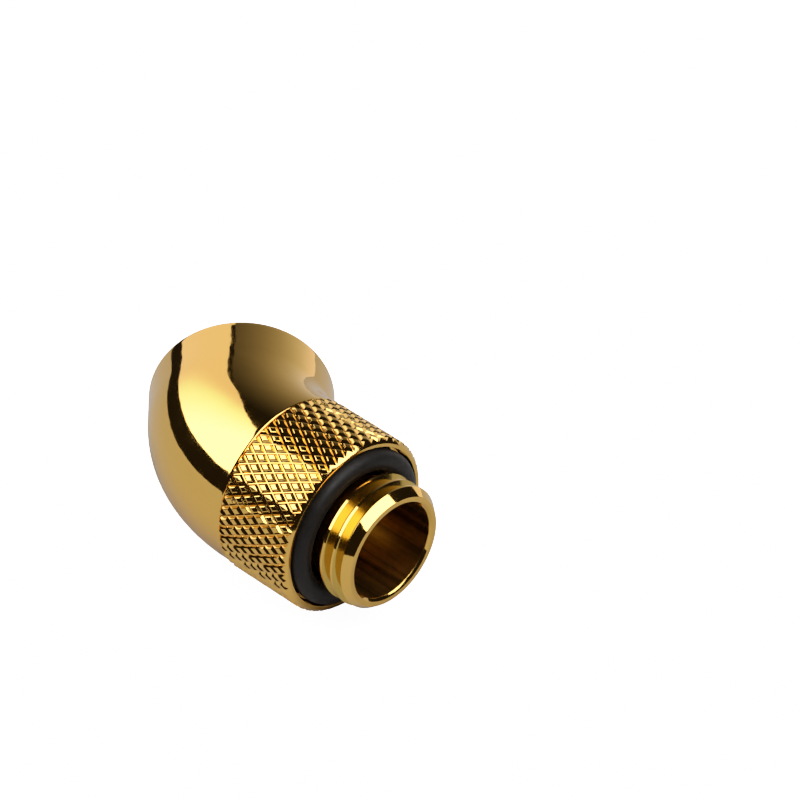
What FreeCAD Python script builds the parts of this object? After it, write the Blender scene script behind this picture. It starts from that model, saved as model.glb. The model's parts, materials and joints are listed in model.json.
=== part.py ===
import FreeCAD, Part
import Sketcher
import math
import os

# G1/4 swivel elbow, 45 degrees, male thread to female thread, in millimetres.
#
# Frame: the origin is the centre of the collar's front face, which seals on the port it screws
# into. +X is the axis of the male thread and points out of its tip. The elbow bends in the XY
# plane towards +Y, and +Z is up when the fitting lies on its side.
#
# The collar and its O-ring are one moving group. The elbow, with the spigot pressed into it and
# what the spigot carries, turns round X inside the collar.

DIMENSIONS = {
    # standard pipe thread, parallel, size 1/4
    "thread_major": 13.157,
    "thread_minor": 11.445,
    # collar
    "collar_diameter": 18.75,
    "collar_length": 9.0,
    "collar_bevel": 0.45,
    "thread_reach": 5.3,
    "tip_bevel_length": 0.9,
    "tip_bevel_depth": 0.7,
    "mouth_bevel": 0.17,
    "neck_diameter": 11.3,
    "neck_reach": 1.1,
    "stem_bore": 10.2,
    # gland in the collar's front face, and the O-ring that seals on the mating port
    "gland_diameter": 17.12,
    "gland_depth": 1.25,
    "face_ring_centre": 14.4,
    "face_ring_section": 2.2,
    # swivel: the collar's socket and the spigot that turns in it
    "socket_diameter": 14.2,
    "socket_floor": 2.3,
    "socket_bevel": 0.3,
    "spigot_diameter": 14.1,
    "spigot_end_gap": 0.15,
    "spigot_bevel": 0.3,
    "spigot_press_length": 3.2,
    "passage_diameter": 10.6,
    # seals on the spigot, drawn at the height they are squeezed to
    "seal_front": 4.0,
    "seal_rear": 6.2,
    "seal_groove_width": 1.5,
    "seal_groove_diameter": 12.1,
    "seal_section": 0.98,
    # sprung wire ring that holds the spigot in the collar
    "snap_position": 7.85,
    "snap_groove_width": 0.95,
    "snap_wire": 0.8,
    "snap_centre": 14.2,
    "snap_inner_groove": 12.8,
    "snap_outer_groove": 15.2,
    "snap_opening": 28.0,
    # slip washer between the collar and the elbow
    "seam_gap": 0.15,
    "washer_inner": 15.4,
    "washer_outer": 17.4,
    "washer_thickness": 0.35,
    "washer_clearance": 0.02,
    "washer_recess_diameter": 17.5,
    # elbow
    "elbow_diameter": 18.4,
    "elbow_bend_radius": 12.2,
    "elbow_bend_angle": 45.0,
    "elbow_inlet_length": 1.27,
    "elbow_outlet_length": 4.67,
    "elbow_seam_round": 0.25,
    "elbow_port_round": 0.35,
    "port_depth": 6.6,
    "port_bevel": 0.95,
}

# the least volume and distance, in cubic millimetres and millimetres, that count as a difference
SMALL = 0.01
ALONG_X = FreeCAD.Rotation(FreeCAD.Vector(0, 1, 0), 90)

doc = FreeCAD.newDocument("swivel_elbow")


def make_sheet():
    """Spreadsheet of the driving dimensions, one named cell each."""
    sheet = doc.addObject("Spreadsheet::Sheet", "Dimensions")
    for row, (name, value) in enumerate(DIMENSIONS.items(), start=1):
        sheet.set(f"A{row}", name)
        sheet.set(f"B{row}", str(value))
        sheet.setAlias(f"B{row}", name)
    return sheet


def size(name):
    """The sheet's value of a driving dimension."""
    return sheet.get(name)


def new_body(name):
    """An empty body whose label is the name of its node."""
    body = doc.addObject("PartDesign::Body", name)
    body.Label = name
    return body


def origin_part(body, role):
    """One of the body's own origin planes or axes."""
    return next(f for f in body.Origin.OriginFeatures if f.Role == role)


def new_sketch(body, name, plane_role):
    """An empty sketch attached to one of the body's origin planes."""
    sketch = body.newObject("Sketcher::SketchObject", name)
    sketch.AttachmentSupport = [(origin_part(body, plane_role), "")]
    sketch.MapMode = "FlatFace"
    return sketch


def constrain(sketch, formula, *constraint):
    """Adds a dimension to a sketch and binds it to a formula over the sheet."""
    index = sketch.addConstraint(Sketcher.Constraint(*constraint))
    sketch.setExpression(f"Constraints[{index}]", formula)


def band_sketch(body, name, x_low, x_high, inner, outer):
    """Rectangle in the XY plane between two stations on X and two diameters about X."""
    sketch = new_sketch(body, name, "XY_Plane")
    corners = [(1, 1), (2, 1), (2, 2), (1, 2)]
    points = [FreeCAD.Vector(x, y, 0) for x, y in corners]
    for start, end in zip(points, points[1:] + points[:1]):
        sketch.addGeometry(Part.LineSegment(start, end))
    for line in range(4):
        sketch.addConstraint(Sketcher.Constraint("Coincident", line, 2, (line + 1) % 4, 1))
    for line in (0, 2):
        sketch.addConstraint(Sketcher.Constraint("Horizontal", line))
    for line in (1, 3):
        sketch.addConstraint(Sketcher.Constraint("Vertical", line))
    constrain(sketch, x_low, "DistanceX", -1, 1, 0, 1, 1.0)
    constrain(sketch, x_high, "DistanceX", -1, 1, 0, 2, 2.0)
    constrain(sketch, f"({inner}) / 2", "DistanceY", -1, 1, 0, 1, 1.0)
    constrain(sketch, f"({outer}) / 2", "DistanceY", -1, 1, 2, 1, 2.0)
    return sketch


def turned(body, feature_type, name, *band):
    """A full turn of a rectangular band round X, added to the body or cut from it."""
    sketch = band_sketch(body, name + "_outline", *band)
    feature = body.newObject(feature_type, name)
    feature.Profile = sketch
    feature.ReferenceAxis = (origin_part(body, "X_Axis"), [""])
    feature.Angle = 360
    doc.recompute()


def add_band(body, name, *band):
    """Adds a turned band, given as two stations on X and two diameters."""
    turned(body, "PartDesign::Revolution", name, *band)


def cut_band(body, name, *band):
    """Cuts a turned band, and stops if there was nothing there to cut."""
    before = body.Shape.Volume
    turned(body, "PartDesign::Groove", name, *band)
    if body.Shape.Volume > before - SMALL:
        raise RuntimeError(f"{name} cut nothing")


def rings_at(shape, centre, radius):
    """Names of the round edges of that radius about that centre."""
    found = []
    for index, edge in enumerate(shape.Edges, start=1):
        curve = edge.Curve
        if not isinstance(curve, Part.Circle):
            continue
        if abs(curve.Radius - radius) < SMALL and curve.Center.distanceToPoint(centre) < SMALL:
            found.append(f"Edge{index}")
    if not found:
        raise RuntimeError(f"no round edge of radius {radius} at {centre}")
    return found


def dress_ring(body, feature_type, name, centre, radius):
    """A chamfer or fillet on one round edge of the body so far."""
    base = body.Tip
    feature = body.newObject(feature_type, name)
    feature.Base = (base, rings_at(base.Shape, centre, radius))
    return feature


def bevel_ring(body, name, station, radius, formula):
    """An equal chamfer on the round edge at a station on X."""
    feature = dress_ring(body, "PartDesign::Chamfer", name, FreeCAD.Vector(station, 0, 0), radius)
    feature.setExpression("Size", formula)
    doc.recompute()


def round_ring(body, name, centre, radius, formula):
    """A fillet on one round edge."""
    feature = dress_ring(body, "PartDesign::Fillet", name, centre, radius)
    feature.setExpression("Radius", formula)
    doc.recompute()


def make_collar():
    """Threaded stem and grip ring in one piece. The threads are plain at their crest diameter."""
    body = new_body("threaded_collar")
    add_band(body, "grip", "-Dimensions.collar_length", "0", "0", "Dimensions.collar_diameter")
    add_band(body, "stem", "-Dimensions.gland_depth", "Dimensions.thread_reach",
             "0", "Dimensions.thread_major")
    tip = dress_ring(
        body, "PartDesign::Chamfer", "tip_bevel",
        FreeCAD.Vector(size("thread_reach"), 0, 0), size("thread_major") / 2,
    )
    tip.ChamferType = "Two distances"
    tip.setExpression("Size", "Dimensions.tip_bevel_length")
    tip.setExpression("Size2", "Dimensions.tip_bevel_depth")
    doc.recompute()
    cut_band(body, "gland", "-Dimensions.gland_depth", "Dimensions.neck_reach",
             "Dimensions.neck_diameter", "Dimensions.gland_diameter")
    cut_band(body, "socket", "-Dimensions.collar_length", "-Dimensions.socket_floor",
             "0", "Dimensions.socket_diameter")
    cut_band(body, "stem_bore", "-Dimensions.socket_floor", "Dimensions.thread_reach",
             "0", "Dimensions.stem_bore")
    cut_band(body, "snap_groove",
             "-Dimensions.snap_position - Dimensions.snap_groove_width / 2",
             "-Dimensions.snap_position + Dimensions.snap_groove_width / 2",
             "Dimensions.spigot_diameter", "Dimensions.snap_outer_groove")
    bevel_ring(body, "mouth_bevel", size("thread_reach"), size("stem_bore") / 2,
               "Dimensions.mouth_bevel")
    bevel_ring(body, "front_bevel", 0, size("collar_diameter") / 2, "Dimensions.collar_bevel")
    bevel_ring(body, "socket_bevel", -size("collar_length"), size("socket_diameter") / 2,
               "Dimensions.socket_bevel")
    return body


def make_elbow():
    """Bent tube with the female port. Its own origin is the centre of the end at the seam."""
    body = new_body("elbow_body")
    body.setExpression("Placement.Base.x", "-Dimensions.collar_length - Dimensions.seam_gap")
    path = bend_path(body)
    pipe(body, "PartDesign::AdditivePipe", "outside", path, "Dimensions.elbow_diameter")
    pipe(body, "PartDesign::SubtractivePipe", "passage", path, "Dimensions.passage_diameter")
    cut_band(body, "spigot_seat", "-Dimensions.spigot_press_length", "0",
             "0", "Dimensions.spigot_diameter")
    cut_band(body, "washer_recess",
             "-Dimensions.washer_thickness - Dimensions.washer_clearance + Dimensions.seam_gap",
             "0", "Dimensions.spigot_diameter", "Dimensions.washer_recess_diameter")
    cut_port(body)
    radius = size("elbow_diameter") / 2
    round_ring(body, "seam_round", FreeCAD.Vector(0, 0, 0), radius,
               "Dimensions.elbow_seam_round")
    round_ring(body, "port_round", port_centre(), radius, "Dimensions.elbow_port_round")
    return body


def bend_path(body):
    """Centreline of the elbow: straight, arc, straight, each tangent to the next."""
    sketch = new_sketch(body, "centreline", "XY_Plane")
    inlet = size("elbow_inlet_length")
    bend = size("elbow_bend_radius")
    angle = math.radians(size("elbow_bend_angle"))
    outlet = size("elbow_outlet_length")
    bend_end = FreeCAD.Vector(-inlet - bend * math.sin(angle), bend * (1 - math.cos(angle)), 0)
    heading = FreeCAD.Vector(-math.cos(angle), math.sin(angle), 0)
    circle = Part.Circle(FreeCAD.Vector(-inlet, bend, 0), FreeCAD.Vector(0, 0, 1), bend)
    down = 1.5 * math.pi
    sketch.addGeometry(Part.LineSegment(FreeCAD.Vector(0, 0, 0), FreeCAD.Vector(-inlet, 0, 0)))
    sketch.addGeometry(Part.ArcOfCircle(circle, down - angle, down))
    sketch.addGeometry(Part.LineSegment(bend_end, bend_end + heading * outlet))
    sketch.addConstraint(Sketcher.Constraint("Coincident", 0, 1, -1, 1))
    sketch.addConstraint(Sketcher.Constraint("Horizontal", 0))
    sketch.addConstraint(Sketcher.Constraint("Tangent", 0, 2, 1, 2))
    sketch.addConstraint(Sketcher.Constraint("Tangent", 1, 1, 2, 1))
    constrain(sketch, "Dimensions.elbow_inlet_length", "Distance", 0, inlet)
    constrain(sketch, "Dimensions.elbow_bend_radius", "Radius", 1, bend)
    constrain(sketch, "Dimensions.elbow_outlet_length", "Distance", 2, outlet)
    constrain(sketch, "Dimensions.elbow_outlet_length * sin(Dimensions.elbow_bend_angle)",
              "DistanceY", 2, 1, 2, 2, outlet * math.sin(angle))
    return sketch


def pipe(body, feature_type, name, path, diameter):
    """A round section swept along the centreline, added or cut."""
    section = new_sketch(body, name + "_section", "YZ_Plane")
    start = size("passage_diameter") / 2
    section.addGeometry(Part.Circle(FreeCAD.Vector(0, 0, 0), FreeCAD.Vector(0, 0, 1), start))
    section.addConstraint(Sketcher.Constraint("Coincident", 0, 3, -1, 1))
    constrain(section, diameter, "Diameter", 0, 2 * start)
    feature = body.newObject(feature_type, name)
    feature.Profile = section
    feature.Spine = path
    doc.recompute()


def port_centre():
    """Centre of the port's face in the elbow's own frame."""
    angle = math.radians(size("elbow_bend_angle"))
    bend = size("elbow_bend_radius")
    outlet = size("elbow_outlet_length")
    along = size("elbow_inlet_length") + bend * math.sin(angle) + outlet * math.cos(angle)
    across = bend * (1 - math.cos(angle)) + outlet * math.sin(angle)
    return FreeCAD.Vector(-along, across, 0)


def aim_into_port(feature):
    """Places a primitive at the port's face, pointing into the elbow."""
    feature.Placement = FreeCAD.Placement(
        port_centre(),
        FreeCAD.Rotation(FreeCAD.Vector(0, 0, 1), -size("elbow_bend_angle")).multiply(ALONG_X),
    )
    bend = "Dimensions.elbow_bend_radius"
    angle = "Dimensions.elbow_bend_angle"
    outlet = "Dimensions.elbow_outlet_length"
    feature.setExpression(
        "Placement.Base.x",
        f"-Dimensions.elbow_inlet_length - {bend} * sin({angle}) - {outlet} * cos({angle})",
    )
    feature.setExpression(
        "Placement.Base.y", f"{bend} * (1 - cos({angle})) + {outlet} * sin({angle})"
    )


def cut_port(body):
    """Female thread, plain at its crest diameter, with a bevelled mouth."""
    thread = body.newObject("PartDesign::SubtractiveCylinder", "port_thread")
    thread.setExpression("Radius", "Dimensions.thread_minor / 2")
    thread.setExpression("Height", "Dimensions.port_depth")
    aim_into_port(thread)
    doc.recompute()
    mouth = body.newObject("PartDesign::SubtractiveCone", "port_mouth")
    mouth.setExpression("Radius1", "Dimensions.thread_minor / 2 + Dimensions.port_bevel")
    mouth.setExpression("Radius2", "Dimensions.thread_minor / 2")
    mouth.setExpression("Height", "Dimensions.port_bevel")
    aim_into_port(mouth)
    doc.recompute()


def make_spigot():
    """Sleeve pressed into the elbow. It turns in the collar and carries the seals."""
    body = new_body("swivel_spigot")
    front = "-Dimensions.socket_floor - Dimensions.spigot_end_gap"
    rear = "-Dimensions.collar_length - Dimensions.seam_gap - Dimensions.spigot_press_length"
    add_band(body, "sleeve", rear, front,
             "Dimensions.passage_diameter", "Dimensions.spigot_diameter")
    for name, position in (("front_groove", "seal_front"), ("rear_groove", "seal_rear")):
        cut_band(body, name,
                 f"-Dimensions.{position} - Dimensions.seal_groove_width / 2",
                 f"-Dimensions.{position} + Dimensions.seal_groove_width / 2",
                 "Dimensions.seal_groove_diameter", "Dimensions.socket_diameter")
    cut_band(body, "snap_groove",
             "-Dimensions.snap_position - Dimensions.snap_groove_width / 2",
             "-Dimensions.snap_position + Dimensions.snap_groove_width / 2",
             "Dimensions.snap_inner_groove", "Dimensions.socket_diameter")
    bevel_ring(body, "lead_in", -size("socket_floor") - size("spigot_end_gap"),
               size("spigot_diameter") / 2, "Dimensions.spigot_bevel")
    return body


def make_ring(name, position, centre_diameter, section_diameter):
    """A round ring about X at a station on X, all three given as formulas."""
    ring = doc.addObject("Part::Torus", name)
    ring.Label = name
    ring.Placement.Rotation = ALONG_X
    ring.setExpression("Placement.Base.x", position)
    ring.setExpression("Radius1", f"({centre_diameter}) / 2")
    ring.setExpression("Radius2", f"({section_diameter}) / 2")
    return ring


def make_rings():
    """The face O-ring, the two seals on the spigot and the wire retaining ring."""
    seal_centre = "Dimensions.seal_groove_diameter + Dimensions.seal_section"
    face = make_ring("face_o_ring",
                     "-Dimensions.gland_depth + Dimensions.face_ring_section / 2",
                     "Dimensions.face_ring_centre", "Dimensions.face_ring_section")
    front = make_ring("front_seal_ring", "-Dimensions.seal_front", seal_centre,
                      "Dimensions.seal_section")
    rear = make_ring("rear_seal_ring", "-Dimensions.seal_rear", seal_centre,
                     "Dimensions.seal_section")
    snap = make_ring("retaining_ring", "-Dimensions.snap_position", "Dimensions.snap_centre",
                     "Dimensions.snap_wire")
    snap.setExpression("Angle3", "360 - Dimensions.snap_opening")
    return [face, front, rear, snap]


def make_washer():
    """Low-friction washer that keeps the elbow from rubbing on the collar."""
    body = new_body("slip_washer")
    front = "-Dimensions.collar_length - Dimensions.washer_clearance"
    add_band(body, "ring", f"{front} - Dimensions.washer_thickness", front,
             "Dimensions.washer_inner", "Dimensions.washer_outer")
    return body


def check(parts):
    """Stops if any object failed or any sub-part has no valid shape."""
    for item in doc.Objects:
        if {"Invalid", "Error"} & set(item.State):
            raise RuntimeError(f"{item.Name} failed: {item.State}")
    for part in parts:
        if part.Shape.isNull() or not part.Shape.isValid() or part.Shape.Volume <= 0:
            raise RuntimeError(f"{part.Label} has no valid solid")


sheet = make_sheet()
doc.recompute()
parts = [make_collar(), make_elbow(), make_spigot(), make_washer(), *make_rings()]
doc.recompute()
check(parts)
os.makedirs("parts", exist_ok=True)
for part in parts:
    part.Shape.exportStep(f"parts/{part.Label}.step")
    print(part.Label, "volume", round(part.Shape.Volume, 2))
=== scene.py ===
import itertools
import json
import math

import bmesh
import bpy
from mathutils import Matrix, Vector


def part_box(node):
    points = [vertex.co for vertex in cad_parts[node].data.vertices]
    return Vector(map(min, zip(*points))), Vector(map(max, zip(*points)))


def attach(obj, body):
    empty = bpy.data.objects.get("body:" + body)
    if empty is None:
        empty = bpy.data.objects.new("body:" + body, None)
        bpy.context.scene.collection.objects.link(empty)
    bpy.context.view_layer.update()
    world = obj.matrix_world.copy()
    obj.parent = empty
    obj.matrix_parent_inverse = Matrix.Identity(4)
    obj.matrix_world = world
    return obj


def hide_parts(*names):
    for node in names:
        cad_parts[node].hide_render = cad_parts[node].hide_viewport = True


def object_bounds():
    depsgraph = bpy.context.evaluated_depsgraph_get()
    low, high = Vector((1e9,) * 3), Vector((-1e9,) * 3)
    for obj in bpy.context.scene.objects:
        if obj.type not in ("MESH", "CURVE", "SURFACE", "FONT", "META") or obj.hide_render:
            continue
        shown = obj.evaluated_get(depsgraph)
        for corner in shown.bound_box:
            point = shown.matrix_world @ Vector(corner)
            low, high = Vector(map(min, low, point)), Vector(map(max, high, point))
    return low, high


# Looks of the gold-plated swivel elbow. Lengths are millimetres until mesh_piece(), cut() and the
# studio turn them into metres. An outline is a list of (station, radius, corner radius). Stations
# run along X on the turned pieces, and from the seam to the port along the bent elbow.

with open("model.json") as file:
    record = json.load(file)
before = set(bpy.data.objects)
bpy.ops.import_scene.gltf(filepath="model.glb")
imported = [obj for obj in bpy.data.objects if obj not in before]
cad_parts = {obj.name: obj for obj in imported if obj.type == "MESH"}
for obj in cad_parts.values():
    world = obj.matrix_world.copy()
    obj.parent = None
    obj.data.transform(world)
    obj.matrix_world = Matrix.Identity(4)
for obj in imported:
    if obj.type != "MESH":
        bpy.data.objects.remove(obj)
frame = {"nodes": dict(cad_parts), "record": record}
cad_low, cad_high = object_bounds()

MM = 0.001
mounts = {m["name"]: m for m in frame["record"]["mounts"]}


def node_box(node):
    """A CAD node's lowest and highest corner, in millimetres."""
    low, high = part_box(node)
    return low / MM, high / MM


# ---------------------------------------------------------------- sizes read from the frame
collar_low, collar_high = node_box("threaded_collar")
_, elbow_high = node_box("elbow_body")
spigot_low, spigot_high = node_box("swivel_spigot")
washer_low, washer_high = node_box("slip_washer")

COLLAR_RADIUS = collar_high.z
COLLAR_REAR = collar_low.x
TIP = collar_high.x
SEAM = elbow_high.x
TUBE_RADIUS = elbow_high.z
MALE_CREST = mounts["male_thread"]["dims"]["r_mm"]
FEMALE_CREST = mounts["port_thread"]["dims"]["r_mm"]
STEM_BORE = mounts["stem_bore"]["dims"]["r_mm"]
PORT_CENTRE = Vector(mounts["port_face"]["pos_m"]) / MM
PORT_AXIS = Vector(mounts["port_face"]["axis"])

# ---------------------------------------------------------------- threads
PITCH = 1.337
THREAD_DEPTH = 0.856
FLANK_ANGLE = math.radians(27.5)
MALE_ROOT_FLAT = 0.2
FEMALE_CREST_FLAT = 0.26
# how far a flat's corners are eased back
FLAT_EASE = 0.05
# how far the port's wall stands in front of the female thread's root, and the ridge's base behind
ROOT_OVERLAP = 0.05
# where the male groove crosses the thread's upper side, and the stations where it starts and ends
GROOVE_ANGLE = math.radians(136.5)
GROOVE_STATION = 3.9
GROOVE_START = 0.4
GROOVE_END = 4.75
RUN_OUT_TURNS = 0.3
# the female ridge's first station past the port's floor, and its distance from the mouth
RIDGE_START = 0.85
RIDGE_END = 1.05

# ---------------------------------------------------------------- elbow
BEND_RADIUS = 12.2
BEND_ANGLE = math.atan2(PORT_AXIS.y, -PORT_AXIS.x)
OUTLET = (PORT_CENTRE.y - BEND_RADIUS * (1 - math.cos(BEND_ANGLE))) / math.sin(BEND_ANGLE)
INLET = (
    SEAM - PORT_CENTRE.x - BEND_RADIUS * math.sin(BEND_ANGLE) - OUTLET * math.cos(BEND_ANGLE)
)
BEND_LENGTH = BEND_RADIUS * BEND_ANGLE
TUBE_LENGTH = INLET + BEND_LENGTH + OUTLET
SEAM_ROUND = 0.25
PORT_ROUND = 0.35
PASSAGE_RADIUS = 5.3
PORT_DEPTH = 6.6
PORT_FLOOR = TUBE_LENGTH - PORT_DEPTH
PORT_RADIUS = FEMALE_CREST + THREAD_DEPTH - ROOT_OVERLAP
PORT_MOUTH_BEVEL = 0.3
# the cone between the port's wall and the passage, on each side of the port's floor
CONE_ABOVE = 0.3
CONE_BELOW = 0.4
# the longest run of a bent outline that stays undivided
LONGEST_RUN = 0.3

# ---------------------------------------------------------------- collar
COLLAR_BEVEL = 0.45
RIM_RADIUS = 8.925
GLAND_RADIUS = 8.56
GLAND_DEPTH = 1.25
NECK_RADIUS = 5.65
NECK_REACH = 1.1
NECK_CONE = 0.45
TIP_RADIUS = 5.88
TIP_BEVEL = 0.9
MOUTH_BEVEL = 0.28
SOCKET_RADIUS = 7.1
SOCKET_FLOOR = -2.3
SOCKET_BEVEL = 0.3

KNURL_STARTS = 50
KNURL_ANGLE = math.radians(30)
# half a groove's profile, from its middle out: distance across, depth. From there the crown rises
# a little further, to its middle.
KNURL_PROFILE = [(0.0, 0.25), (0.035, 0.25), (0.23, 0.03), (0.30, 0.006)]
KNURL_CROWN = 0.001
# how far a cutter stands clear of what it cuts
CUTTER_MARGIN = 0.3

# ---------------------------------------------------------------- what joins them
SPIGOT_RADIUS = spigot_high.z
SPIGOT_LEAD = 0.3
SEAT_DEPTH = SEAM - spigot_low.x
WASHER_PLAY = 0.05
WASHER_RECESS_RADIUS = washer_high.z + WASHER_PLAY
WASHER_RECESS_DEPTH = SEAM - washer_low.x
SEAL_GROOVE_WIDTH = 1.5
SEAL_GROOVE_RADIUS = 6.05
SNAP_GROOVE_WIDTH = 0.95
SNAP_GROOVE_INNER = 6.4
SNAP_GROOVE_OUTER = 7.6

# ---------------------------------------------------------------- roundings and fineness
CRISP_EDGE = 0.05
SOFT_EDGE = 0.12
# steps in a rounded corner, round a turned piece, in one turn of a thread
ROUND_STEPS = 6
AROUND = 360
HELIX_AROUND = 120
# steps round a seal that is out of sight, and round a ring's own section, seen and out of sight
HIDDEN_AROUND = 180
RING_SECTION = 48
HIDDEN_SECTION = 24
# edges sharper than this, in degrees, stay sharp: on most pieces, and on the knurled collar
SHARP = 30
KNURL_SHARP = 16
# how far past a bore's radius its lining reaches
LINING_REACH = 0.1


# ---------------------------------------------------------------- mesh building
def mesh_piece(name, points, faces, material, body, nodes):
    """A piece from millimetre points, which rides on a body and stands in for CAD nodes."""
    mesh = bpy.data.meshes.new(name)
    mesh.from_pydata([Vector(p) * MM for p in points], [], faces)
    mesh.materials.append(material)
    piece = bpy.data.objects.new(name, mesh)
    bpy.context.scene.collection.objects.link(piece)
    tidy_mesh(piece, SHARP)
    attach(piece, body)
    if nodes:
        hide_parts(*nodes)
    return piece


def line_bore(piece, material, radius_at, bore):
    """Gives the faces of a bore a second material. radius_at measures from its centreline."""
    piece.data.materials.append(material)
    for face in piece.data.polygons:
        if radius_at(face.center / MM) < bore + LINING_REACH:
            face.material_index = 1


def tidy_mesh(piece, sharp):
    """Outward normals, no doubled points, smooth faces with sharp edges past an angle."""
    shape = bmesh.new()
    shape.from_mesh(piece.data)
    bmesh.ops.remove_doubles(shape, verts=shape.verts, dist=1e-7)
    bmesh.ops.recalc_face_normals(shape, faces=shape.faces)
    shape.to_mesh(piece.data)
    shape.free()
    piece.data.polygons.foreach_set("use_smooth", [True] * len(piece.data.polygons))
    piece.data.set_sharp_from_angle(angle=math.radians(sharp))


def straight(along, radius, angle):
    """A point about the X axis. Angles start at +Y and turn towards +Z."""
    return Vector((along, radius * math.cos(angle), radius * math.sin(angle)))


def bent(along, radius, angle):
    """A point about the elbow's centreline, along which stations run from the seam to the port."""
    turn = min(max(along - INLET, 0) / BEND_RADIUS, BEND_ANGLE)
    centre = Vector((SEAM - min(along, INLET), 0, 0))
    centre += Vector((-math.sin(turn), 1 - math.cos(turn), 0)) * BEND_RADIUS
    heading = Vector((-math.cos(turn), math.sin(turn), 0))
    centre += heading * max(along - INLET - BEND_LENGTH, 0)
    side = Vector((math.sin(turn), math.cos(turn), 0))
    return centre + side * radius * math.cos(angle) + Vector((0, 0, radius * math.sin(angle)))


def straight_radius(point):
    """How far a point is from the X axis."""
    return math.hypot(point.y, point.z)


def bent_radius(point):
    """How far a point is from the elbow's centreline."""
    into = SEAM - INLET - point.x
    turn = min(max(math.atan2(into, BEND_RADIUS - point.y), 0), BEND_ANGLE)
    on_line = Vector((SEAM - INLET, BEND_RADIUS, 0))
    on_line += Vector((-math.sin(turn), -math.cos(turn), 0)) * BEND_RADIUS
    heading = Vector((-math.cos(turn), math.sin(turn), 0))
    away = point - on_line
    if turn in (0, BEND_ANGLE):
        away -= heading * away.dot(heading)
    return away.length


def rounded(corners):
    """An outline of (station, radius, corner radius), each corner turned into an arc."""
    outline = []
    count = len(corners)
    for i, (x, r, size) in enumerate(corners):
        here = Vector((x, r))
        if size == 0:
            outline.append(here)
            continue
        before = (Vector(corners[i - 1][:2]) - here).normalized()
        after = (Vector(corners[(i + 1) % count][:2]) - here).normalized()
        half = before.angle(after) / 2
        reach = size / math.tan(half)
        middle = here + (before + after).normalized() * (size / math.sin(half))
        start = here + before * reach - middle
        sweep = start.angle_signed(here + after * reach - middle)
        for step in range(ROUND_STEPS + 1):
            spoke = start.copy()
            spoke.rotate(Matrix.Rotation(-sweep * step / ROUND_STEPS, 2))
            outline.append(middle + spoke)
    return outline


def subdivided(outline, longest):
    """The closed outline with long runs divided, so that a bent tube stays smooth."""
    result = []
    for start, end in zip(outline, outline[1:] + outline[:1]):
        parts = max(1, math.ceil((end - start).length / longest))
        result += [start.lerp(end, k / parts) for k in range(parts)]
    return result


def groove(node, width, surface, floor):
    """Corners of the square groove that holds a ring, in order along +X."""
    low, high = node_box(node)
    rear = (low.x + high.x - width) / 2
    front = rear + width
    return [(rear, surface, 0), (rear, floor, 0), (front, floor, 0), (front, surface, 0)]


def lathed(outline, place, around=AROUND):
    """Points and faces of a closed outline turned all the way round."""
    rows = len(outline)
    points = []
    for column in range(around):
        angle = 2 * math.pi * column / around
        points += [place(x, r, angle) for x, r in outline]
    faces = []
    for column in range(around):
        here, there = column * rows, (column + 1) % around * rows
        for row in range(rows):
            above = (row + 1) % rows
            faces.append((here + row, here + above, there + above, there + row))
    return points, faces


def thread_section(flat_width, flat, base):
    """Section of a groove or ridge: a flat at one radius, with flanks that open to its base."""
    half = flat_width / 2
    half_base = half + (base - flat) * math.tan(FLANK_ANGLE)
    return [
        (-half_base, base), (-half, flat + FLAT_EASE), (-half / 2, flat),
        (half / 2, flat), (half, flat + FLAT_EASE), (half_base, base),
    ]


def helix(section, first, turns, place, phase, run_out):
    """A closed section along a right-hand helix. Over its last part it moves out by run_out."""
    rows = len(section)
    steps = round(turns * HELIX_AROUND)
    points = []
    for step in range(steps + 1):
        turn = step / HELIX_AROUND
        along = first + PITCH * turn
        angle = phase + 2 * math.pi * turn
        lift = run_out * max(0, 1 - (turns - turn) / RUN_OUT_TURNS)
        points += [place(along + x, r + lift, angle) for x, r in section]
    faces = [tuple(range(rows)), tuple(steps * rows + row for row in range(rows))]
    for step in range(steps):
        here, there = step * rows, (step + 1) * rows
        for row in range(rows):
            above = (row + 1) % rows
            faces.append((here + row, here + above, there + above, there + row))
    return points, faces


def cut(piece, points, faces, material):
    """Cuts a scratch solid, in millimetres, out of a piece. The cut faces get the material."""
    mesh = bpy.data.meshes.new("tool")
    mesh.from_pydata([Vector(p) * MM for p in points], [], faces)
    mesh.materials.append(material)
    tool = bpy.data.objects.new("tool", mesh)
    bpy.context.scene.collection.objects.link(tool)
    tidy_mesh(tool, SHARP)
    modifier = piece.modifiers.new("tool", "BOOLEAN")
    modifier.operation = "DIFFERENCE"
    modifier.solver = "EXACT"
    modifier.material_mode = "TRANSFER"
    modifier.object = tool
    depsgraph = bpy.context.evaluated_depsgraph_get()
    result = bpy.data.meshes.new_from_object(piece.evaluated_get(depsgraph))
    piece.modifiers.clear()
    blank = piece.data
    piece.data = result
    bpy.data.meshes.remove(blank)
    bpy.data.objects.remove(tool)


# ---------------------------------------------------------------- collar
def knurl_pitch():
    """Distance between neighbouring parallel grooves, square to them."""
    return 2 * math.pi * COLLAR_RADIUS / KNURL_STARTS * math.cos(KNURL_ANGLE)


def knurl_depth(fraction):
    """How deep one family of grooves is, a share of a pitch from a groove's middle."""
    away = min(fraction % 1, 1 - fraction % 1) * knurl_pitch()
    profile = [*KNURL_PROFILE, (knurl_pitch() / 2, KNURL_CROWN)]
    for (near, deep), (far, shallow) in zip(profile, profile[1:]):
        if away < far:
            return deep + (shallow - deep) * (away - near) / (far - near)
    return KNURL_CROWN


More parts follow.
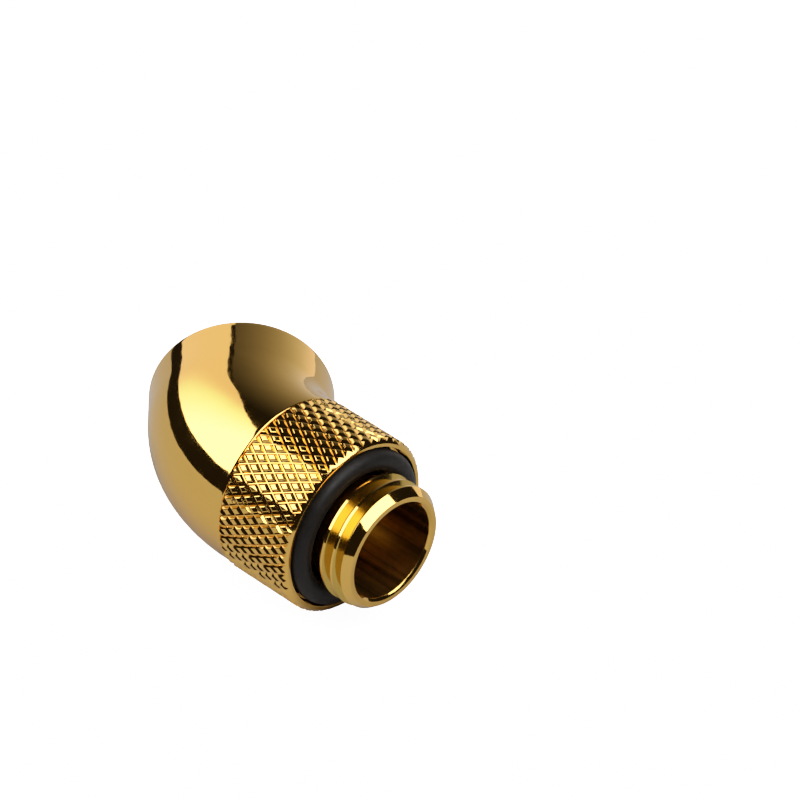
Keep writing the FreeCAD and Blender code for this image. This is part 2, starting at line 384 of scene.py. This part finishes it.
def knurl_waste():
    """What two crossing families of V grooves take off the collar, as one closed solid.

    One family is counted by i and the other by j. Each groove's profile has a few breaks, and
    the crossings of all breaks are the solid's points, on its inner and its outer side.
    """
    across = 2 * math.pi * COLLAR_RADIUS / KNURL_STARTS
    half = [away / knurl_pitch() for away, _ in KNURL_PROFILE]
    breaks = [*half, 0.5, *(1 - share for share in reversed(half[1:]))]
    per_cell = len(breaks)
    rise = across / math.tan(KNURL_ANGLE) / 2
    outside = COLLAR_RADIUS + CUTTER_MARGIN
    first = math.floor((COLLAR_REAR - CUTTER_MARGIN) / rise) - 1
    last = math.ceil(CUTTER_MARGIN / rise) + 1
    points, faces, numbers = [], [], {}

    def pitches(n):
        return n // per_cell + breaks[n % per_cell]

    def vertex(i, j, outer):
        """Number of a crossing's point, which is the same one after each whole turn."""
        whole = (i // per_cell + j // per_cell) // 2 // KNURL_STARTS * KNURL_STARTS * per_cell
        key = (i - whole, j - whole, outer)
        if key not in numbers:
            a, b = pitches(key[0]), pitches(key[1])
            angle = (a + b) / 2 * across / COLLAR_RADIUS
            radius = COLLAR_RADIUS - max(knurl_depth(a), knurl_depth(b))
            numbers[key] = len(points)
            points.append(straight((a - b) * rise, outside if outer else radius, angle))
        return numbers[key]

    cells = [
        (start + (row + 1) // 2, start - row // 2)
        for row in range(first, last)
        for start in range(KNURL_STARTS)
    ]
    border = {}
    for cell_i, cell_j in cells:
        for m, n in itertools.product(range(per_cell), repeat=2):
            i, j = cell_i * per_cell + m, cell_j * per_cell + n
            corners = [(i, j), (i + 1, j), (i + 1, j + 1), (i, j + 1)]
            inner = [vertex(*corner, False) for corner in corners]
            outer = [vertex(*corner, True) for corner in corners]
            # the diagonal lies on the crease where a groove of each family meet
            a, c = (0, 2) if (m < per_cell / 2) == (n < per_cell / 2) else (1, 3)
            faces.append((inner[a], inner[a + 1], inner[c]))
            faces.append((inner[a], inner[c], inner[(c + 1) % 4]))
            faces.append(tuple(reversed(outer)))
            for k in range(4):
                edge = (inner[k], inner[(k + 1) % 4])
                if edge[::-1] in border:
                    del border[edge[::-1]]
                else:
                    border[edge] = (outer[k], outer[(k + 1) % 4])
    for (a, b), (c, d) in border.items():
        faces.append((b, a, c, d))
    return points, faces


def male_groove():
    """What the right-hand male thread takes off the stem."""
    root, mouth = MALE_CREST - THREAD_DEPTH, MALE_CREST + CUTTER_MARGIN
    section = thread_section(MALE_ROOT_FLAT, root, mouth)
    turns = (GROOVE_END - GROOVE_START) / PITCH
    phase = GROOVE_ANGLE + 2 * math.pi * (GROOVE_START - GROOVE_STATION) / PITCH
    return helix(section, GROOVE_START, turns, straight, phase, mouth - root)


def make_collar(material, bore, thread):
    """Turned blank, then the knurl and the thread cut into it."""
    snap_groove = groove("retaining_ring", SNAP_GROOVE_WIDTH, SOCKET_RADIUS, SNAP_GROOVE_OUTER)
    blank = rounded([
        (COLLAR_REAR, SOCKET_RADIUS + SOCKET_BEVEL, 0),
        (COLLAR_REAR, COLLAR_RADIUS, CRISP_EDGE),
        (-COLLAR_BEVEL, COLLAR_RADIUS, CRISP_EDGE),
        (0, RIM_RADIUS, CRISP_EDGE),
        (0, GLAND_RADIUS, CRISP_EDGE),
        (-GLAND_DEPTH, GLAND_RADIUS, SOFT_EDGE),
        (-GLAND_DEPTH, NECK_RADIUS, SOFT_EDGE),
        (NECK_REACH, NECK_RADIUS, CRISP_EDGE),
        (NECK_REACH + NECK_CONE, MALE_CREST, CRISP_EDGE),
        (TIP - TIP_BEVEL, MALE_CREST, CRISP_EDGE),
        (TIP, TIP_RADIUS, SOFT_EDGE),
        (TIP, STEM_BORE + MOUTH_BEVEL, SOFT_EDGE),
        (TIP - MOUTH_BEVEL, STEM_BORE, SOFT_EDGE),
        (SOCKET_FLOOR, STEM_BORE, CRISP_EDGE),
        (SOCKET_FLOOR, SOCKET_RADIUS, SOFT_EDGE),
        *reversed(snap_groove),
        (COLLAR_REAR + SOCKET_BEVEL, SOCKET_RADIUS, 0),
    ])
    points, faces = lathed(blank, straight)
    piece = mesh_piece("collar", points, faces, material, "collar",
                       ["threaded_collar"])
    # the bore's faces take the lining whose dark streaks are painted shade
    line_bore(piece, bore, straight_radius, STEM_BORE)
    cut(piece, *knurl_waste(), material)
    # the thread's cut faces take the darker gold that paints shade into its groove
    cut(piece, *male_groove(), thread)
    tidy_mesh(piece, KNURL_SHARP)


# ---------------------------------------------------------------- elbow
def make_elbow(material, bore):
    """Bent tube with its port, and the female thread standing in the port."""
    outline = rounded([
        (WASHER_RECESS_DEPTH, SPIGOT_RADIUS, 0),
        (WASHER_RECESS_DEPTH, WASHER_RECESS_RADIUS, 0),
        (0, WASHER_RECESS_RADIUS, 0),
        (0, TUBE_RADIUS, SEAM_ROUND),
        (TUBE_LENGTH, TUBE_RADIUS, PORT_ROUND),
        (TUBE_LENGTH, PORT_RADIUS + PORT_MOUTH_BEVEL, CRISP_EDGE),
        (TUBE_LENGTH - PORT_MOUTH_BEVEL, PORT_RADIUS, CRISP_EDGE),
        (PORT_FLOOR + CONE_ABOVE, PORT_RADIUS, 0),
        (PORT_FLOOR - CONE_BELOW, PASSAGE_RADIUS, SOFT_EDGE),
        (SEAT_DEPTH, PASSAGE_RADIUS, 0),
        (SEAT_DEPTH, SPIGOT_RADIUS, 0),
    ])
    points, faces = lathed(subdivided(outline, LONGEST_RUN), bent)
    piece = mesh_piece("elbow", points, faces, material, "elbow", ["elbow_body"])
    # the passage's faces take the lining whose dark streaks are painted shade
    line_bore(piece, bore, bent_radius, PASSAGE_RADIUS)
    base = FEMALE_CREST + THREAD_DEPTH + ROOT_OVERLAP
    section = thread_section(FEMALE_CREST_FLAT, FEMALE_CREST, base)
    turns = (PORT_DEPTH - RIDGE_START - RIDGE_END) / PITCH
    points, faces = helix(section, PORT_FLOOR + RIDGE_START, turns, bent, 0, 0)
    mesh_piece("port_thread", points, faces, material, "elbow", [])


# ---------------------------------------------------------------- rings and inner pieces
def ring_piece(name, node, material, body, around=AROUND, steps=RING_SECTION):
    """A round ring as large as its CAD node."""
    low, high = node_box(node)
    section = (high.x - low.x) / 2
    middle = (high.x + low.x) / 2
    radius = high.z - section
    outline = [
        Vector((middle + section * math.cos(a), radius + section * math.sin(a)))
        for a in (2 * math.pi * k / steps for k in range(steps))
    ]
    points, faces = lathed(outline, straight, around)
    mesh_piece(name, points, faces, material, body, [node])


def make_spigot(material):
    """Sleeve that joins the two halves, with a groove under each ring that it carries."""
    body = rounded([
        (spigot_low.x, PASSAGE_RADIUS, SOFT_EDGE),
        (spigot_low.x, SPIGOT_RADIUS, SOFT_EDGE),
        *groove("retaining_ring", SNAP_GROOVE_WIDTH, SPIGOT_RADIUS, SNAP_GROOVE_INNER),
        *groove("rear_seal_ring", SEAL_GROOVE_WIDTH, SPIGOT_RADIUS, SEAL_GROOVE_RADIUS),
        *groove("front_seal_ring", SEAL_GROOVE_WIDTH, SPIGOT_RADIUS, SEAL_GROOVE_RADIUS),
        (spigot_high.x, SPIGOT_RADIUS, SPIGOT_LEAD),
        (spigot_high.x, PASSAGE_RADIUS, SOFT_EDGE),
    ])
    points, faces = lathed(body, straight)
    mesh_piece("spigot", points, faces, material, "elbow", ["swivel_spigot"])


# ---------------------------------------------------------------- materials
def new_material(name):
    """A node material and its Principled shader."""
    material = bpy.data.materials.new(name)
    material.use_nodes = True
    return material, material.node_tree, material.node_tree.nodes["Principled BSDF"]


def noise_node(tree, scale, detail=3.0, stretch=(1, 1, 1)):
    """Noise over the piece's own coordinates, which can be stretched along an axis."""
    place = tree.nodes.new("ShaderNodeTexCoord")
    mapping = tree.nodes.new("ShaderNodeMapping")
    mapping.inputs["Scale"].default_value = stretch
    texture = tree.nodes.new("ShaderNodeTexNoise")
    texture.inputs["Scale"].default_value = scale
    texture.inputs["Detail"].default_value = detail
    tree.links.new(place.outputs["Object"], mapping.inputs["Vector"])
    tree.links.new(mapping.outputs["Vector"], texture.inputs["Vector"])
    return texture


def spread(tree, source, low, high):
    """Maps a noise value from its middle range to the given range."""
    ranged = tree.nodes.new("ShaderNodeMapRange")
    ranged.inputs["From Min"].default_value = 0.3
    ranged.inputs["From Max"].default_value = 0.7
    ranged.inputs["To Min"].default_value = low
    ranged.inputs["To Max"].default_value = high
    tree.links.new(source, ranged.inputs["Value"])
    return ranged.outputs["Result"]


def bump(tree, shader, height, distance, strength=1.0):
    """Relief on a shader from a height value."""
    relief = tree.nodes.new("ShaderNodeBump")
    relief.inputs["Distance"].default_value = distance
    relief.inputs["Strength"].default_value = strength
    tree.links.new(height, relief.inputs["Height"])
    tree.links.new(relief.outputs["Normal"], shader.inputs["Normal"])


def gold_plate():
    """Mirror-polished gold, with the faint waviness and haze of a polished casting."""
    material, tree, shader = new_material("gold_plate")
    shader.inputs["Metallic"].default_value = 1.0
    shader.inputs["Base Color"].default_value = (0.95, 0.53, 0.12, 1)
    haze = noise_node(tree, 900)
    tree.links.new(spread(tree, haze.outputs["Fac"], 0.035, 0.075), shader.inputs["Roughness"])
    wave = noise_node(tree, 260, 2.0)
    bump(tree, shader, wave.outputs["Fac"], 0.00003)
    return material


def bored_gold():
    """Thin, duller plating over the fine rings that a boring tool leaves inside, streaked with a
    near-black brown that paints shade into the bore.
    """
    material, tree, shader = new_material("bored_gold")
    shader.inputs["Metallic"].default_value = 1.0
    streak = noise_node(tree, 1100, 3.0, (0.03, 1, 1))
    shade = tree.nodes.new("ShaderNodeMix")
    shade.data_type = "RGBA"
    # colour A is painted shade in the bore and colour B is the plating's own gold; the streaks mix
    # the two
    shade.inputs["A"].default_value = (0.13, 0.07, 0.01, 1)
    shade.inputs["B"].default_value = (0.92, 0.55, 0.12, 1)
    fade = spread(tree, streak.outputs["Fac"], 0, 1)
    tree.links.new(fade, shade.inputs["Factor"])
    tree.links.new(shade.outputs["Result"], shader.inputs["Base Color"])
    shader.inputs["Roughness"].default_value = 0.26
    return material


def threaded_gold():
    """Plating over flanks that are cut and not polished, in a darker gold that paints shade into
    the thread's groove.
    """
    material, tree, shader = new_material("threaded_gold")
    shader.inputs["Metallic"].default_value = 1.0
    # the darker gold is painted shade in the groove; the rougher finish is the cut flanks' own
    shader.inputs["Base Color"].default_value = (0.68, 0.43, 0.09, 1)
    haze = noise_node(tree, 1800)
    tree.links.new(spread(tree, haze.outputs["Fac"], 0.11, 0.16), shader.inputs["Roughness"])
    return material


def turned_brass():
    """Bare brass, bright as the lathe leaves it."""
    material, tree, shader = new_material("turned_brass")
    shader.inputs["Metallic"].default_value = 1.0
    shader.inputs["Base Color"].default_value = (0.45, 0.28, 0.08, 1)
    haze = noise_node(tree, 2500)
    tree.links.new(spread(tree, haze.outputs["Fac"], 0.16, 0.28), shader.inputs["Roughness"])
    return material


def black_rubber():
    """Matte moulded rubber with a fine grain."""
    material, tree, shader = new_material("black_rubber")
    tone = noise_node(tree, 1500)
    shade = tree.nodes.new("ShaderNodeMix")
    shade.data_type = "RGBA"
    shade.inputs["A"].default_value = (0.006, 0.005, 0.004, 1)
    shade.inputs["B"].default_value = (0.012, 0.010, 0.009, 1)
    tree.links.new(tone.outputs["Fac"], shade.inputs["Factor"])
    tree.links.new(shade.outputs["Result"], shader.inputs["Base Color"])
    tree.links.new(spread(tree, tone.outputs["Fac"], 0.42, 0.55), shader.inputs["Roughness"])
    shader.inputs["Specular IOR Level"].default_value = 0.22
    grain = noise_node(tree, 9000, 4.0)
    bump(tree, shader, grain.outputs["Fac"], 0.00002, 0.4)
    return material


def spring_steel():
    """Drawn wire, a little dull."""
    material, tree, shader = new_material("spring_steel")
    shader.inputs["Metallic"].default_value = 1.0
    shader.inputs["Base Color"].default_value = (0.56, 0.55, 0.53, 1)
    haze = noise_node(tree, 3000)
    tree.links.new(spread(tree, haze.outputs["Fac"], 0.25, 0.4), shader.inputs["Roughness"])
    return material


def white_plastic():
    """Satin low-friction plastic."""
    material, tree, shader = new_material("white_plastic")
    shader.inputs["Base Color"].default_value = (0.80, 0.79, 0.76, 1)
    haze = noise_node(tree, 2000)
    tree.links.new(spread(tree, haze.outputs["Fac"], 0.4, 0.55), shader.inputs["Roughness"])
    return material


def dress_node(node, material):
    """Gives a carried-over CAD node its material."""
    frame["nodes"][node].data.materials.clear()
    frame["nodes"][node].data.materials.append(material)


# ---------------------------------------------------------------- studio
# the light that is shown as full white, and the curve up to it: light, and how it is shown
WHITE = 3.0
HIGHLIGHT_CURVE = [(0.3, 0.285), (0.7, 0.56), (1.2, 0.86), (1.9, 0.965)]

# how much light the floor scatters and gives out, seen in the metal and seen by the camera
FLOOR_IN_METAL = (0.45, 0.0)
FLOOR_TO_CAMERA = (0.9, 2.0)
FLOOR_RADIUS = 150

# corners of the light cards, as azimuth and elevation in degrees seen from the fitting
KEY_CORNERS = [
    (143, 5), (143, 31), (148, 33), (157, 38), (160, 44), (172, 50), (184, 54), (197, 55),
    (250, 52), (240, 17), (168, 4),
]
FILL_CORNERS = [(-30, 32), (46, 32), (60, 75), (-60, 75)]
BACK_CORNERS = [(84, -6), (142, -6), (142, 33), (157, 41), (163, 50), (166, 70), (84, 70)]
UP = (0, 90)


def direction(azimuth, elevation):
    """Unit vector from an azimuth, from +X towards +Y, and an elevation, in degrees."""
    a, e = math.radians(azimuth), math.radians(elevation)
    return Vector((math.cos(e) * math.cos(a), math.cos(e) * math.sin(a), math.sin(e)))


def card(name, corners, distance, first, last, toward=UP, start=0.0, stop=1.0, bend=1.0):
    """A flat glowing card, some metres away, whose corners lie in the given directions.

    Its strength runs from first to last between start and stop, which are distances in metres
    measured from the fitting towards a direction. A bend above 1 makes a fading card fade fast
    at first and slowly at its end.
    """
    middle = sum((direction(*c) for c in corners), Vector()).normalized()
    rays = [direction(*c) for c in corners]
    points = [ray * (distance / ray.dot(middle)) for ray in rays]
    mesh = bpy.data.meshes.new(name)
    mesh.from_pydata(points, [], [tuple(range(len(points)))])
    material = bpy.data.materials.new(name)
    material.use_nodes = True
    tree = material.node_tree
    tree.nodes.clear()
    place = tree.nodes.new("ShaderNodeTexCoord")
    along = tree.nodes.new("ShaderNodeVectorMath")
    along.operation = "DOT_PRODUCT"
    along.inputs[1].default_value = direction(*toward)
    ranged = tree.nodes.new("ShaderNodeMapRange")
    ranged.interpolation_type = "SMOOTHSTEP"
    ranged.inputs["From Min"].default_value = start
    ranged.inputs["From Max"].default_value = stop
    ranged.inputs["To Min"].default_value = first ** (1 / bend)
    ranged.inputs["To Max"].default_value = last ** (1 / bend)
    power = tree.nodes.new("ShaderNodeMath")
    power.operation = "POWER"
    power.inputs[1].default_value = bend
    glow = tree.nodes.new("ShaderNodeEmission")
    out = tree.nodes.new("ShaderNodeOutputMaterial")
    tree.links.new(place.outputs["Object"], along.inputs[0])
    tree.links.new(along.outputs["Value"], ranged.inputs["Value"])
    tree.links.new(ranged.outputs["Result"], power.inputs[0])
    tree.links.new(power.outputs["Value"], glow.inputs["Strength"])
    tree.links.new(glow.outputs["Emission"], out.inputs["Surface"])
    mesh.materials.append(material)
    thing = bpy.data.objects.new(name, mesh)
    bpy.context.scene.collection.objects.link(thing)
    thing.visible_camera = False


def make_floor():
    """Round pale table top. It looks white to the camera and less bright in the metal."""
    middle = (cad_low + cad_high) / 2
    shape = bmesh.new()
    bmesh.ops.create_circle(shape, cap_ends=True, segments=128, radius=FLOOR_RADIUS * MM)
    bmesh.ops.translate(shape, verts=shape.verts, vec=(middle.x, middle.y, cad_low.z))
    mesh = bpy.data.meshes.new("floor")
    shape.to_mesh(mesh)
    shape.free()
    material = bpy.data.materials.new("floor")
    material.use_nodes = True
    tree = material.node_tree
    tree.nodes.clear()
    path = tree.nodes.new("ShaderNodeLightPath")
    choice = tree.nodes.new("ShaderNodeMixShader")
    out = tree.nodes.new("ShaderNodeOutputMaterial")
    tree.links.new(path.outputs["Is Camera Ray"], choice.inputs[0])
    for socket, (tone, lift) in enumerate((FLOOR_IN_METAL, FLOOR_TO_CAMERA), start=1):
        matte = tree.nodes.new("ShaderNodeBsdfDiffuse")
        matte.inputs["Color"].default_value = (tone, tone, tone, 1)
        glow = tree.nodes.new("ShaderNodeEmission")
        glow.inputs["Strength"].default_value = lift
        both = tree.nodes.new("ShaderNodeAddShader")
        tree.links.new(matte.outputs["BSDF"], both.inputs[0])
        tree.links.new(glow.outputs["Emission"], both.inputs[1])
        tree.links.new(both.outputs["Shader"], choice.inputs[socket])
    tree.links.new(choice.outputs["Shader"], out.inputs["Surface"])
    mesh.materials.append(material)
    floor = bpy.data.objects.new("floor", mesh)
    bpy.context.scene.collection.objects.link(floor)


def set_tones():
    """Plain colours, with highlights that roll off softly before they reach white."""
    view = bpy.context.scene.view_settings
    view.view_transform = "Standard"
    view.use_curve_mapping = True
    view.curve_mapping.white_level = (WHITE, WHITE, WHITE)
    curve = view.curve_mapping.curves[3]
    for light, shown in HIGHLIGHT_CURVE:
        curve.points.new(light / WHITE, shown)
    view.curve_mapping.update()


def make_world():
    """A dark room round a white view."""
    world = bpy.data.worlds.new("studio")
    bpy.context.scene.world = world
    world.use_nodes = True
    tree = world.node_tree
    background = tree.nodes["Background"]
    path = tree.nodes.new("ShaderNodeLightPath")
    room = tree.nodes.new("ShaderNodeMix")
    room.data_type = "RGBA"
    room.inputs["A"].default_value = (0.012, 0.011, 0.010, 1)
    room.inputs["B"].default_value = (WHITE, WHITE, WHITE, 1)
    tree.links.new(path.outputs["Is Camera Ray"], room.inputs["Factor"])
    tree.links.new(room.outputs["Result"], background.inputs["Color"])


def make_camera():
    """The photographed view: a long lens from above the thread's side."""
    azimuth, elevation, roll = math.radians(41.64), math.radians(35.32), math.radians(4.26)
    distance = 526.3 * MM
    aim = Vector((-0.73, 6.07, 11.72)) * MM
    back = Vector((
        math.sin(azimuth) * math.cos(elevation),
        -math.cos(azimuth) * math.cos(elevation),
        math.sin(elevation),
    ))
    camera = bpy.data.objects.new("camera", bpy.data.cameras.new("camera"))
    bpy.context.scene.collection.objects.link(camera)
    camera.data.lens = 248.2
    camera.data.sensor_width = 36
    camera.data.clip_start = 0.01
    camera.data.clip_end = 10
    camera.location = aim + back * distance
    level = (-back).to_track_quat("-Z", "Y").to_matrix()
    camera.rotation_euler = (level @ Matrix.Rotation(roll, 3, "Z")).to_euler()
    bpy.context.scene.camera = camera


# ---------------------------------------------------------------- build
gold = gold_plate()
rubber = black_rubber()
# the bore lining's dark streaks are painted shade inside the bores
bore_painted_shade_lining = bored_gold()
# the thread's darker gold paints shade into its groove
make_collar(gold, bore_painted_shade_lining, threaded_gold())
make_elbow(gold, bore_painted_shade_lining)
ring_piece("face_seal", "face_o_ring", rubber, "collar")
for name in ("front_seal", "rear_seal"):
    ring_piece(name, name + "_ring", rubber, "elbow", HIDDEN_AROUND,
               HIDDEN_SECTION)
make_spigot(turned_brass())
dress_node("retaining_ring", spring_steel())
dress_node("slip_washer", white_plastic())

card("key_card", KEY_CORNERS, distance=0.4, first=1.2, last=5.0, toward=(225, 35),
     start=0.27, stop=0.46)
card("fill_card", FILL_CORNERS, distance=0.4, first=5.5, last=5.5)
card("back_card", BACK_CORNERS, distance=0.6, first=1.18, last=0.0, toward=(165, 55),
     start=0.1, stop=0.75, bend=1.7)
make_floor()
make_world()
make_camera()
set_tones()
